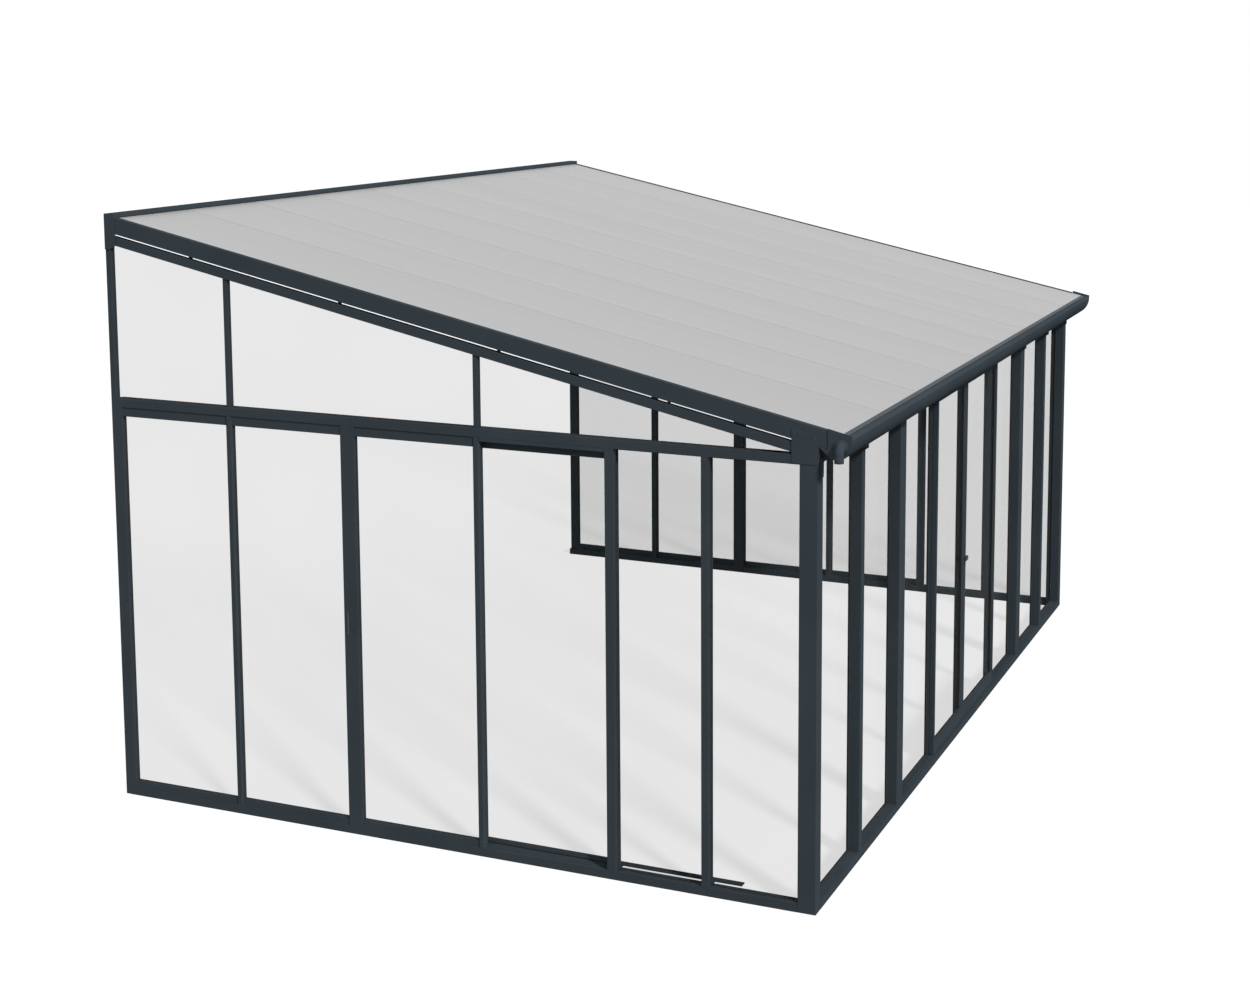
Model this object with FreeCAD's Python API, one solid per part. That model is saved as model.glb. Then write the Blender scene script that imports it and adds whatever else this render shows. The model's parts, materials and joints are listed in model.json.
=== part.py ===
"""Lean-to conservatory: aluminium profiles, clear panes, hollow-chamber roof panels, gutter and sliding leaves.

Modelling axes, in millimetres: X runs along the house from the outer face of the left gable, Y runs from
the outer face of the front wall to the house, Z is up from the floor. Every piece is moved at export so that
the origin is the middle of the bounding box at floor level.
"""
import FreeCAD, Part
import math
import os

# Driving dimensions: the whole
length = 5500.0
depth = 4000.0
eaves_height = 2336.0
roof_pitch_deg = 12.0

# Driving dimensions: wall profiles
wall_depth = 60.0
slim_depth = 34.0
base_height = 44.0
skin = 3.0
corner_x = 72.0
corner_y = 92.0
corner_round = 4.0
wall_post_width = 32.0
jamb_width = 36.0
thin_stud = 38.0
door_stud = 48.0
wide_stud = 82.0
front_stud = 52.0
front_wide_stud = 108.0
front_depth = 68.0
front_slim_stud = 24.0
front_bays = 8
stud_chamfer = 7.0
narrow_bay = 453.0
door_bay = 682.0

# Driving dimensions: gable heights
header_drop = 133.0
header_height = 46.0
bay_head_height = 49.0
bay_sill_height = 36.0
bay_recess = 5.0
mullion_width = 28.0
mullion_recess = 8.0
gable_rail_height = 48.0
rail_recess = 2.0
slit = 14.0
spacer_pitch = 905.0
spacer_length = 8.0
spacer_count = 4

# Driving dimensions: panes
pane = 4.0
pane_clearance = 0.3
groove_depth = 10.0
gable_pane_depth = 22.0
front_pane_depth = 58.0

# Driving dimensions: roof
panel_count = 9
panel_height = 16.0
panel_edge_seat = 18.5
panel_skin = 1.6
panel_chambers = 8
panel_gap = 3.0
lap_width = 12.0
lap_clearance = 0.3
lip_thickness = 3.0
lip_clearance = 1.0
rafter_height = 88.0
rafter_width = 50.0
rafter_lip = 30.0
panel_overhang = 133.0
rafter_overhang = 45.0
joiner_top_width = 50.0
joiner_foot_width = 40.0
wall_rail_depth = 65.0
wall_rail_rise = 21.0
wall_rail_end_gap = 4.0
wall_cap_thickness = 6.0
wall_cap_drop = 152.0
wall_cap_step = 18.0

# Driving dimensions: front beam and gutter
beam_drop = 174.0
gutter_reach = 163.0
gutter_top_drop = 30.0
gutter_depth = 113.0
gutter_wall = 3.0
gutter_lip = 20.0
gutter_lip_fall = 16.0
gutter_tuck = 50.0
gutter_flange = 55.0
gutter_cap_thickness = 4.0
gutter_cap_rise = 10.0
outlet_radius = 22.0
outlet_bore = 19.0
outlet_bend = 34.0
outlet_set_back = 112.0
outlet_rise = 64.0
outlet_collar_radius = 33.0
outlet_collar = 12.0
outlet_socket_radius = 22.5
outlet_socket = 36.0
outlet_sides = 16
outlet_steps = 5
bracket_width = 32.0
bracket_thickness = 10.0
stud_bracket_thickness = 18.0
corner_bracket_drop = 94.0
stud_bracket_drop = 85.0

# Driving dimensions: corner plates, screws and anchors
gusset_thickness = 3.0
gusset_width = 131.0
gusset_set_up = 3.0
gusset_top_drop = 40.0
screw_radius = 5.0
screw_height = 2.5
anchor_radius = 5.0
anchor_inset = 240.0
anchor_line = 46.0
wall_bolt_radius = 5.0
wall_bolt_inset = 350.0
latch_plate_height = 120.0
latch_plate_width = 10.0
latch_plate_thickness = 2.0
latch_plate_foot = 1065.0

# Driving dimensions: sliding leaves
leaf_thickness = 26.0
side_stile = 40.0
front_stile = 26.0
side_foot_rail = 15.0
front_foot_rail = 66.0
leaf_top_rail = 48.0
leaf_groove = 3.5
leaf_tongue = 10.0
leaf_tongue_width = 6.0
guide_clearance = 2.0
guide_wall = 4.0
roller_radius = 5.0
roller_width = 6.0
roller_play = 0.3
roller_inset = 90.0
axle_radius = 2.0
axle_clearance = 0.05
pocket_clearance = 1.0
track_plate = 2.0
track_ridge_width = 3.0
track_ridge_height = 4.0
side_leaf_set_back = 74.0
side_leaf_overlap = 36.0
side_leaf_travel = 650.0
side_track_front = 80.0
side_track_width = 40.0
side_track_drop = 3.0
front_leaf_set_back = 12.0
front_leaf_gap = 3.0
left_jamb_shift = 51.5
right_jamb_shift = 19.5
meeting_shift = 20.5
meeting_gap = 3.0
pull_height = 28.0
pull_width = 16.0
pull_reach = 18.0
pull_level = 1030.0
side_pull_reach = 4.0
running_gap = 2.0

slope = math.tan(math.radians(roof_pitch_deg))
header_top = eaves_height - header_drop
header_bottom = header_top - header_height
beam_bottom = eaves_height - beam_drop
gutter_top = eaves_height - gutter_top_drop
gutter_floor = gutter_top - gutter_depth
outlet_axis_height = gutter_floor + outlet_rise
gusset_foot = header_bottom + gusset_set_up
sill_top = base_height + bay_sill_height
pitch_front = length / front_bays
cover_width = (length - 2 * panel_edge_seat) / panel_count
panel_top = -lip_thickness - lip_clearance
panel_bottom = panel_top - panel_height
rail_top = -rafter_height - slit
rail_bottom = rail_top - gable_rail_height
wall_rail_front = depth - wall_rail_depth
outlet_x = -gutter_cap_thickness - outlet_bend

# The gable's members along Y: the two bays nearest the house share what the others leave
thin3 = (corner_y + narrow_bay, corner_y + narrow_bay + thin_stud)
wide2 = (thin3[1] + narrow_bay, thin3[1] + narrow_bay + door_stud)
thin2 = (wide2[1] + door_bay, wide2[1] + door_bay + thin_stud)
wide1 = (thin2[1] + door_bay, thin2[1] + door_bay + wide_stud)
jamb = (depth - wall_post_width - jamb_width, depth - wall_post_width)
plain_bay = (jamb[0] - wide1[1] - thin_stud) / 2
thin1 = (wide1[1] + plain_bay, wide1[1] + plain_bay + thin_stud)


def roof_z(y):
    """Height of the roof's top line at a distance from the front wall."""
    return eaves_height + slope * y


low_corner = FreeCAD.Vector(outlet_x - max(outlet_radius, outlet_socket_radius), -gutter_reach, 0)
high_corner = FreeCAD.Vector(length + wall_cap_thickness, depth, 0)
home = (low_corner + high_corner) * -0.5


def vector(x, y, z):
    return FreeCAD.Vector(x, y, z)


def face_of(points):
    return Part.Face(Part.makePolygon(points + [points[0]]))


def box(x0, x1, y0, y1, z0, z1):
    return Part.makeBox(x1 - x0, y1 - y0, z1 - z0, vector(x0, y0, z0))


def prism_x(points, x0, x1):
    """A (y, z) outline carried along X."""
    return face_of([vector(x0, y, z) for y, z in points]).extrude(vector(x1 - x0, 0, 0))


def prism_y(points, y0, y1):
    """An (x, z) outline carried along Y."""
    return face_of([vector(x, y0, z) for x, z in points]).extrude(vector(0, y1 - y0, 0))


def prism_z(points, z0, z1):
    """An (x, y) outline carried up Z."""
    return face_of([vector(x, y, z0) for x, y in points]).extrude(vector(0, 0, z1 - z0))


def sloped(points, y0, y1):
    """An outline of x and offset from the roof line, carried up the slope with plumb ends."""
    outline = [vector(x, y0, roof_z(y0) + offset) for x, offset in points]
    return face_of(outline).extrude(vector(0, y1 - y0, slope * (y1 - y0)))


def mirrored(shape):
    """The same piece on the other gable."""
    return shape.mirror(vector(length / 2, 0, 0), vector(1, 0, 0))


def export(name, solids):
    """Moves the solids to the part's origin and writes them as one node."""
    moved = []
    for solid in solids:
        copy = solid.copy()
        copy.translate(home)
        moved.append(copy)
    whole = moved[0] if len(moved) == 1 else Part.makeCompound(moved)
    whole.exportStep(f"parts/{name}.step")


def stud_outline(a0, a1, deep, groove, low_groove, high_groove, chamfer):
    """A stud's section: a along the wall, d into it, with pane grooves on the sides asked for."""
    g0 = groove - pane_clearance
    g1 = groove + pane + pane_clearance
    outline = [(a0 + chamfer, 0), (a1 - chamfer, 0), (a1, chamfer)]
    if high_groove:
        outline += [(a1, g0), (a1 - groove_depth, g0), (a1 - groove_depth, g1), (a1, g1)]
    outline += [(a1, deep), (a0, deep)]
    if low_groove:
        outline += [(a0, g1), (a0 + groove_depth, g1), (a0 + groove_depth, g0), (a0, g0)]
    return outline + [(a0, chamfer)]


def gable_stud(span, deep, low_groove, high_groove, z0, z1, chamfer=1.0):
    outline = stud_outline(span[0], span[1], deep, gable_pane_depth, low_groove, high_groove, chamfer)
    return prism_z([(d, a) for a, d in outline], z0, z1)


def front_stud_piece(x0, x1, front, low_groove, high_groove):
    """A stud of the front wall from a distance behind its outer face to the back of the wall."""
    outline = stud_outline(x0, x1, front_depth - front, front_pane_depth - front, low_groove, high_groove, 1.0)
    return prism_z([(x, front + d) for x, d in outline], base_height, beam_bottom)


def gable_groove(y0, y1, z0, z1):
    """Room for a pane's edge in a gable member."""
    return box(gable_pane_depth - pane_clearance, gable_pane_depth + pane + pane_clearance, y0, y1, z0, z1)


def front_groove(x0, x1, z0, z1):
    """Room for a pane's edge in a front member."""
    return box(x0, x1, front_pane_depth - pane_clearance, front_pane_depth + pane + pane_clearance, z0, z1)


def gable_pane(outline):
    return prism_x(outline, gable_pane_depth, gable_pane_depth + pane)


def rectangle(a0, a1, b0, b1):
    return [(a0, b0), (a1, b0), (a1, b1), (a0, b1)]


seat = groove_depth - pane_clearance


def base_rail_gable():
    """Hollow floor rail of a gable, with a pane groove, anchor holes and no end walls."""
    rail = box(0, wall_depth, corner_y, depth, 0, base_height)
    rail = rail.cut(box(0, slim_depth, depth - wall_post_width, depth, 0, base_height))
    rail = rail.cut(gable_groove(corner_y, depth, base_height - groove_depth, base_height))
    hollow_top = base_height - groove_depth - skin
    rail = rail.cut(box(skin, wall_depth - skin, corner_y, depth - wall_post_width - skin, skin, hollow_top))
    for y in (corner_y + anchor_inset, depth - wall_post_width - anchor_inset):
        rail = rail.cut(Part.makeCylinder(anchor_radius, base_height, vector(anchor_line, y, 0)))
    return rail


def base_rail_front():
    """Hollow floor rail between the corner posts."""
    rail = box(corner_x, length - corner_x, 0, front_depth, 0, base_height)
    rail = rail.cut(front_groove(corner_x, length - corner_x, base_height - groove_depth, base_height))
    hollow_top = base_height - groove_depth - skin
    rail = rail.cut(box(corner_x, length - corner_x, skin, front_depth - skin, skin, hollow_top))
    for x in (corner_x + anchor_inset, length - corner_x - anchor_inset):
        rail = rail.cut(Part.makeCylinder(anchor_radius, base_height, vector(x, anchor_line, 0)))
    return rail


def corner_post():
    """Hollow post with rounded edges, pane grooves on two sides and a top cut to the roof's pitch."""
    post = box(0, corner_x, 0, corner_y, 0, roof_z(corner_y))
    upright = [e for e in post.Edges if abs(e.tangentAt(e.FirstParameter).z) > 0.99]
    post = post.makeFillet(corner_round, upright)
    post = post.cut(box(skin + groove_depth, corner_x - groove_depth - skin, skin,
                        corner_y - groove_depth - skin, 0, roof_z(corner_y)))
    foot = base_height - groove_depth
    post = post.cut(gable_groove(corner_y - groove_depth, corner_y, foot, header_bottom + groove_depth))
    post = post.cut(front_groove(corner_x - groove_depth, corner_x, foot, beam_bottom + groove_depth))
    above = [(0, roof_z(0) - rafter_height), (corner_y, roof_z(corner_y) - rafter_height),
             (corner_y, roof_z(corner_y)), (0, roof_z(corner_y))]
    return post.cut(prism_x(above, 0, corner_x))


def wall_post():
    """Post against the house, cut to the wall rail's seat and grooved for the upper pane."""
    front = depth - wall_post_width
    under = rafter_height + skin
    outline = [(front, 0), (depth, 0), (depth, roof_z(depth) - under), (front, roof_z(front) - under)]
    post = prism_x(outline, 0, slim_depth)
    return post.cut(gable_groove(front, front + groove_depth, header_top - groove_depth, roof_z(front)))


def gable_header():
    """Rail over the lower bays, grooved for panes above and below."""
    header = box(0, wall_depth, corner_y, depth - wall_post_width, header_bottom, header_top)
    header = header.cut(gable_groove(corner_y, depth - wall_post_width, header_bottom,
                                     header_bottom + groove_depth))
    header = header.cut(gable_groove(corner_y, depth - wall_post_width, header_top - groove_depth, header_top))
    inside = box(gable_pane_depth + pane + skin, wall_depth - skin, corner_y + skin,
                 depth - wall_post_width - skin, header_bottom + skin, header_top - skin)
    return header.cut(inside)


def gable_studs(with_door):
    """The five lower studs of one gable, front to house: slim ones where the leaf runs behind them."""
    door_groove = not with_door
    deep = slim_depth if with_door else wall_depth
    return [
        gable_stud(thin3, wall_depth, True, True, base_height, header_bottom),
        gable_stud(wide2, wall_depth, True, door_groove, base_height, header_bottom),
        gable_stud(thin2, deep, door_groove, True, base_height, header_bottom, stud_chamfer),
        gable_stud(wide1, deep, True, True, base_height, header_bottom),
        gable_stud(thin1, deep, True, True, base_height, header_bottom, stud_chamfer),
    ]


def framed_bays(with_door):
    """The bays that have their own head and sill, as (low, high) along Y."""
    bays = [(thin2[1], wide1[0]), (wide1[1], thin1[0]), (thin1[1], jamb[0])]
    return bays if with_door else [(wide2[1], thin2[0])] + bays


def bay_rails(with_door):
    """Heads, sills and the house-side stile of the framed bays."""
    pieces = []
    for low, high in framed_bays(with_door):
        head = box(bay_recess, slim_depth, low, high, header_bottom - bay_head_height, header_bottom)
        head_foot = header_bottom - bay_head_height
        pieces.append(head.cut(gable_groove(low, high, head_foot, head_foot + groove_depth)))
        sill = box(bay_recess, slim_depth, low, high, base_height, sill_top)
        pieces.append(sill.cut(gable_groove(low, high, sill_top - groove_depth, sill_top)))
    pieces.append(gable_stud(jamb, slim_depth, True, False, base_height, header_bottom))
    return pieces


def lower_panes(with_door):
    """Clear panes below the header of one gable."""
    panes = []
    for low, high in ((corner_y, thin3[0]), (thin3[1], wide2[0])):
        panes.append(gable_pane(rectangle(low - seat, high + seat, base_height - seat, header_bottom + seat)))
    for low, high in framed_bays(with_door):
        head_foot = header_bottom - bay_head_height
        panes.append(gable_pane(rectangle(low - seat, high + seat, sill_top - seat, head_foot + seat)))
    return panes


mullion_spans = [((span[0] + span[1] - mullion_width) / 2, (span[0] + span[1] + mullion_width) / 2)
                 for span in (thin2, thin1)]


def upper_mullions():
    """Slim bars above the header, cut to the sloped rail."""
    bars = []
    for low, high in mullion_spans:
        outline = [(low, header_top), (high, header_top), (high, roof_z(high) + rail_bottom),
                   (low, roof_z(low) + rail_bottom)]
        bar = prism_x(outline, mullion_recess, slim_depth)
        for y in (low, high - groove_depth):
            bar = bar.cut(gable_groove(y, y + groove_depth, header_top, roof_z(high)))
        bars.append(bar)
    return bars


def gable_rail():
    """Sloped rail under the edge rafter, grooved for the upper panes."""
    section = rectangle(rail_recess, slim_depth, rail_bottom, rail_top)
    end = depth - wall_post_width
    rail = sloped(section, corner_y, end)
    groove = rectangle(gable_pane_depth - pane_clearance, gable_pane_depth + pane + pane_clearance,
                       rail_bottom, rail_bottom + groove_depth)
    return rail.cut(sloped(groove, corner_y, end))


def upper_panes():
    """Three panes between the header and the sloped rail."""
    foot = header_top - seat
    low_bar, high_bar = mullion_spans
    spans = [(corner_y + pane_clearance, low_bar[0] + seat), (low_bar[1] - seat, high_bar[0] + seat),
             (high_bar[1] - seat, depth - wall_post_width + seat)]
    panes = []
    for low, high in spans:
        outline = [(low, foot), (high, foot), (high, roof_z(high) + rail_bottom + seat),
                   (low, roof_z(low) + rail_bottom + seat)]
        panes.append(gable_pane(outline))
    return panes


def rail_spacers():
    """Small blocks that hold the edge rafter off the sloped rail."""
    section = rectangle(mullion_recess, slim_depth, rail_top, -rafter_height)
    first = (corner_y + thin3[1]) / 2 + narrow_bay - thin_stud
    starts = [first + spacer_pitch * k - spacer_length / 2 for k in range(spacer_count)]
    return [sloped(section, y, y + spacer_length) for y in starts]


def edge_rafter():
    """Hollow rafter over the gable, with a shelf for the roof panel and a lip over its edge."""
    shelf = panel_edge_seat - running_gap
    outline = [(0, 0), (rafter_lip, 0), (rafter_lip, -lip_thickness), (shelf, -lip_thickness),
               (shelf, panel_bottom), (rafter_width, panel_bottom), (rafter_width, -rafter_height),
               (0, -rafter_height)]
    inside = rectangle(skin, rafter_width - skin, skin - rafter_height, panel_bottom - skin)
    top = depth - wall_rail_end_gap * 2
    return sloped(outline, -rafter_overhang, top).cut(sloped(inside, -rafter_overhang, top))


def roof_joiner(k):
    """Rafter under the joint between two roof panels: a flange, a web and a foot."""
    centre = panel_edge_seat + cover_width * k
    half_top = joiner_top_width / 2
    half_foot = joiner_foot_width / 2
    half_web = skin / 2
    outline = [(-half_top, panel_bottom), (half_top, panel_bottom), (half_top, panel_bottom - skin),
               (half_web, panel_bottom - skin), (half_web, skin - rafter_height),
               (half_foot, skin - rafter_height), (half_foot, -rafter_height), (-half_foot, -rafter_height),
               (-half_foot, skin - rafter_height), (-half_web, skin - rafter_height),
               (-half_web, panel_bottom - skin), (-half_top, panel_bottom - skin)]
    placed = [(centre + x, offset) for x, offset in outline]
    return sloped(placed, -rafter_overhang, depth - wall_rail_end_gap * 2)


def roof_panel(k):
    """Hollow-chamber panel that laps over the next one's edge."""
    x0 = panel_edge_seat + cover_width * k
    x1 = x0 + cover_width
    middle = panel_top - panel_height / 2
    first = k == 0
    last = k == panel_count - 1
    right = x1 if last else x1 - panel_gap
    outline = [(x0, panel_top), (right, panel_top)]
    if last:
        outline += [(right, panel_bottom)]
    else:
        tip = x1 + lap_width - panel_gap - lap_clearance
        outline += [(right, middle - lap_clearance), (tip, middle - lap_clearance), (tip, panel_bottom)]
    if first:
        outline += [(x0, panel_bottom)]
    else:
        outline += [(x0 + lap_width, panel_bottom), (x0 + lap_width, middle), (x0, middle)]
    panel = sloped(outline, -panel_overhang, depth - wall_rail_end_gap * 2)
    cells_from = x0 + lap_width + panel_skin
    cell_pitch = (x1 - panel_gap - cells_from) / panel_chambers
    for cell in range(panel_chambers):
        low = cells_from + cell_pitch * cell
        chamber = rectangle(low, low + cell_pitch - panel_skin, panel_bottom + panel_skin,
                            panel_top - panel_skin)
        panel = panel.cut(sloped(chamber, -panel_overhang, depth - wall_rail_end_gap * 2))
    return panel


def wall_rail():
    """Rail on the house: a bolted back, a sloped seat for the rafters, and a lip over the panels."""
    top = roof_z(wall_rail_front) + wall_rail_rise
    back = depth - wall_rail_end_gap
    lip_foot = roof_z(wall_rail_front) + lip_clearance
    under = rafter_height + skin
    outline = [(wall_rail_front, roof_z(wall_rail_front) - under), (depth, roof_z(depth) - under), (depth, top),
               (wall_rail_front, top), (wall_rail_front, lip_foot), (wall_rail_front + skin, lip_foot),
               (wall_rail_front + skin, top - skin), (back, top - skin), (back, roof_z(back) - rafter_height),
               (wall_rail_front, roof_z(wall_rail_front) - rafter_height)]
    rail = prism_x(outline, 0, length)
    bolt_level = roof_z(back) - rafter_height / 2
    for x in (wall_bolt_inset, length - wall_bolt_inset):
        hole = Part.makeCylinder(wall_bolt_radius, wall_rail_end_gap, vector(x, back, bolt_level),
                                 vector(0, 1, 0))
        rail = rail.cut(hole)
    return rail


def wall_rail_cap():
    """End cap of the wall rail, with a chamfered lower corner."""
    foot = roof_z(wall_rail_front) - wall_cap_drop
    top = roof_z(wall_rail_front) + wall_rail_rise
    outline = [(wall_rail_front, top), (wall_rail_front, foot), (depth - wall_post_width, foot - wall_cap_step),
               (depth, foot - wall_cap_step), (depth, top)]
    return prism_x(outline, -wall_cap_thickness, 0)


def front_beam():
    """Hollow beam between the corner posts, its top cut to the roof's pitch."""
    x0 = corner_x
    x1 = length - corner_x
    outline = [(0, beam_bottom), (front_depth, beam_bottom), (front_depth, roof_z(front_depth) - rafter_height),
               (0, roof_z(0) - rafter_height)]
    inside_foot = beam_bottom + groove_depth + skin
    inside = [(skin, inside_foot), (front_depth - skin, inside_foot),
              (front_depth - skin, roof_z(0) - rafter_height - skin), (skin, roof_z(0) - rafter_height - skin)]
    beam = prism_x(outline, x0, x1).cut(prism_x(inside, x0, x1))
    return beam.cut(front_groove(x0, x1, beam_bottom, beam_bottom + groove_depth))


middle_stud = front_bays // 2
wide_fronts = (middle_stud - 2, middle_stud + 2)
slim_fronts = (middle_stud - 1, middle_stud, middle_stud + 1)
meeting_line = pitch_front * middle_stud - meeting_shift


def front_span(k):
    """Where the front stud of a number starts and ends along X."""
    centre = pitch_front * k
    if k == slim_fronts[0]:
        low = centre - front_stud / 2 + left_jamb_shift
        return (low, low + front_slim_stud)
    if k == middle_stud:
        return (meeting_line - front_slim_stud / 2, meeting_line + front_slim_stud / 2)
    if k == slim_fronts[2]:
        high = centre + front_stud / 2 + right_jamb_shift
        return (high - front_slim_stud, high)
    half = (front_wide_stud if k in wide_fronts else front_stud) / 2
    return (centre - half, centre + half)


def front_studs():
    """Front studs: full depth outside the doorway, and slim ones behind the leaves in it."""
    studs = []
    behind_leaf = front_leaf_set_back + leaf_thickness + front_leaf_gap
    for k in range(1, front_bays):
        x0, x1 = front_span(k)
        front = behind_leaf if k in slim_fronts else 0
        studs.append(front_stud_piece(x0, x1, front, k <= slim_fronts[0] or k > slim_fronts[2],
                                      k < slim_fronts[0] or k >= slim_fronts[2]))
    return studs


def front_panes():
    """Fixed panes of the front wall, beside the doorway."""
    edges = [(0, corner_x)] + [front_span(k) for k in range(1, front_bays)] + [(length - corner_x, length)]
    panes = []
    for k in range(front_bays):
        if k in (middle_stud - 1, middle_stud):
            continue
        x0 = edges[k][1] - seat
        x1 = edges[k + 1][0] + seat
        panes.append(box(x0, x1, front_pane_depth, front_pane_depth + pane,
                         base_height - seat, beam_bottom + seat))
    return panes


def curve(start, through, end):
    return Part.Arc(start, through, end).toShape()


def gutter_wire(x, corners):
    """A closed gutter outline at one x: straight edges, with each arc given by its middle point."""
    edges = []
    for here, there, middle in corners:
        start = vector(x, *here)
        end = vector(x, *there)
        edges.append(curve(start, vector(x, *middle), end) if middle else Part.makeLine(start, end))
    return Part.Wire(edges)


gutter_face_drop = gutter_depth - gutter_lip_fall
gutter_turn = (gutter_tuck ** 2 + gutter_face_drop ** 2) / (2 * gutter_tuck)
gutter_sweep = math.asin(gutter_face_drop / gutter_turn)


def face_point(radius, share):
    """A point of the gutter's curved face: share 0 under the lip, 1 at its foot."""
    angle = gutter_sweep * share
    return (gutter_turn - gutter_reach - radius * math.cos(angle),
            gutter_top - gutter_lip_fall - radius * math.sin(angle))


def path(points, arcs):
    """Pairs of neighbouring points round a closed outline, with the arc that starts at an index."""
    count = len(points)
    return [(points[i], points[(i + 1) % count], arcs.get(i)) for i in range(count)]


shelf_step = 6.0
inner_share = math.asin((gutter_face_drop - gutter_wall) / (gutter_turn - gutter_wall)) / gutter_sweep


def gutter():
    """Gutter with a sloped shelf under the rafter ends, a flat floor and a curved front with a sloped lip."""
    inner = gutter_turn - gutter_wall
    shelf_end = -rafter_overhang - shelf_step
    under = -rafter_height
    trough_back = shelf_end - 2 * shelf_step
    lip_end = gutter_lip - gutter_reach
    low_inner = face_point(inner, inner_share)
    outline = [
        (0, roof_z(0) + under - gutter_flange),
        (-gutter_wall, roof_z(0) + under - gutter_flange),
        (-gutter_wall, roof_z(-gutter_wall) + under - gutter_wall),
        (shelf_end, roof_z(shelf_end) + under - gutter_wall),
        (trough_back, gutter_floor),
        face_point(gutter_turn, 1),
        face_point(gutter_turn, 0),
        (lip_end, gutter_top),
        (lip_end, gutter_top - gutter_wall),
        face_point(inner, 0),
        low_inner,
        (trough_back - gutter_wall, low_inner[1]),
        (shelf_end - gutter_wall, roof_z(shelf_end - gutter_wall) + under),
        (0, roof_z(0) + under),
    ]
    arcs = {5: face_point(gutter_turn, 0.5), 9: face_point(inner, inner_share / 2)}
    face = Part.Face(gutter_wire(0, path(outline, arcs)))
    return face.extrude(vector(length, 0, 0))


def gutter_cap():
    """End plate of the gutter, with a strip that follows the roof over the rafter's end."""
    end = -rafter_overhang
    outline = [
        (-gutter_reach, gutter_top + lip_thickness),
        face_point(gutter_turn, 0),
        face_point(gutter_turn, 1),
        (end - 3 * shelf_step, gutter_floor),
        (-shelf_step, roof_z(-shelf_step) - rafter_height - gutter_wall),
        (-shelf_step, roof_z(-shelf_step) - rafter_height),
        (end, roof_z(end) - rafter_height),
        (end, roof_z(end) + gutter_cap_rise),
    ]
    face = Part.Face(gutter_wire(-gutter_cap_thickness, path(outline, {1: face_point(gutter_turn, 0.5)})))
    return face.extrude(vector(gutter_cap_thickness, 0, 0))


def outlet_ring(radius, turn):
    """Corners of a flat-sided ring round the outlet's line, turned from level to plumb."""
    pivot = vector(-gutter_cap_thickness, -outlet_set_back, outlet_axis_height - outlet_bend)
    corners = []
    for side in range(outlet_sides):
        angle = 2 * math.pi * side / outlet_sides
        reach = outlet_bend + radius * math.cos(angle)
        corners.append(pivot + vector(-reach * math.sin(turn), radius * math.sin(angle),
                                      reach * math.cos(turn)))
    return corners


def elbow_bend(radius):
    """A quarter bend of flat facets from the end cap outwards and down."""
    rings = [outlet_ring(radius, math.radians(90.0 * step / outlet_steps)) for step in range(outlet_steps + 1)]
    faces = [face_of(rings[0]), face_of(rings[-1])]
    for near, far in zip(rings, rings[1:]):
        for side in range(outlet_sides):
            after = (side + 1) % outlet_sides
            faces.append(face_of([near[side], near[after], far[after], far[side]]))
    return Part.Solid(Part.Shell(faces))


def gutter_outlet():
    """Hollow elbow from the end cap: collar, quarter bend and the spigot for a downpipe."""
    plumb = math.radians(90.0)
    down = vector(0, 0, -1)
    spigot_top = vector(outlet_x, -outlet_set_back, outlet_axis_height - outlet_bend)
    elbow = elbow_bend(outlet_radius)
    elbow = elbow.fuse(Part.makeCylinder(outlet_socket_radius, outlet_socket, spigot_top, down))
    elbow = elbow.fuse(face_of(outlet_ring(outlet_collar_radius, 0)).extrude(vector(-outlet_collar, 0, 0)))
    bore = elbow_bend(outlet_bore)
    bore = bore.fuse(face_of(outlet_ring(outlet_bore, plumb)).extrude(down * outlet_socket))
    return elbow.cut(bore)


def gutter_brackets():
    """Blocks under the gutter's flange: slim on the corner posts, thick over some studs."""
    top = roof_z(0) - rafter_height - gutter_flange
    blocks = []
    for x in (corner_x / 2, length - corner_x / 2):
        blocks.append(box(x - bracket_width / 2, x + bracket_width / 2, -bracket_thickness, 0,
                          top - corner_bracket_drop, top))
    for k in (1, front_bays - 2, front_bays - 1):
        x = pitch_front * k
        blocks.append(box(x - front_stud / 2, x + front_stud / 2, -stud_bracket_thickness, 0,
                          top - stud_bracket_drop, top))
    return blocks


def corner_gusset():
    """Plate that ties the corner post, header and rafter together."""
    outline = [(0, gusset_foot), (gusset_width, gusset_foot),
               (gusset_width, roof_z(gusset_width) - gusset_top_drop), (0, roof_z(0) - gusset_top_drop)]
    return prism_x(outline, -gusset_thickness, 0)


def screw_head(position, direction):
    """A low six-sided head that sits on a face."""
    across = direction.cross(vector(0, 0, 1))
    corners = []
    for side in range(6):
        angle = math.radians(60.0 * side)
        corners.append(position + across * (screw_radius * math.cos(angle))
                       + vector(0, 0, screw_radius * math.sin(angle)))
    return face_of(corners).extrude(direction * screw_height)


def screws():
    """Screw heads on the corner plates, corner posts, stud feet and front brackets."""
    heads = []
    out = vector(-1, 0, 0)
    inset = 3 * screw_radius
    for y in (inset, gusset_width - inset):
        for z in (gusset_foot + inset, roof_z(y) - gusset_top_drop - inset):
            heads.append(screw_head(vector(-gusset_thickness, y, z), out))
    heads.append(screw_head(vector(0, inset, gusset_foot - 2 * inset), out))
    for member in (thin3, thin1):
        heads.append(screw_head(vector(0, (member[0] + member[1]) / 2, header_bottom - inset), out))
    for z in (base_height + inset, base_height + 2 * inset):
        heads.append(screw_head(vector(0, (thin2[0] + thin2[1]) / 2, z), out))
    heads += [mirrored(head) for head in heads]
    for x in (corner_x / 2, length - corner_x / 2):
        z = roof_z(0) - rafter_height - gutter_flange - corner_bracket_drop + inset
        heads.append(screw_head(vector(x, -bracket_thickness, z), vector(0, -1, 0)))
    return heads


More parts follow.
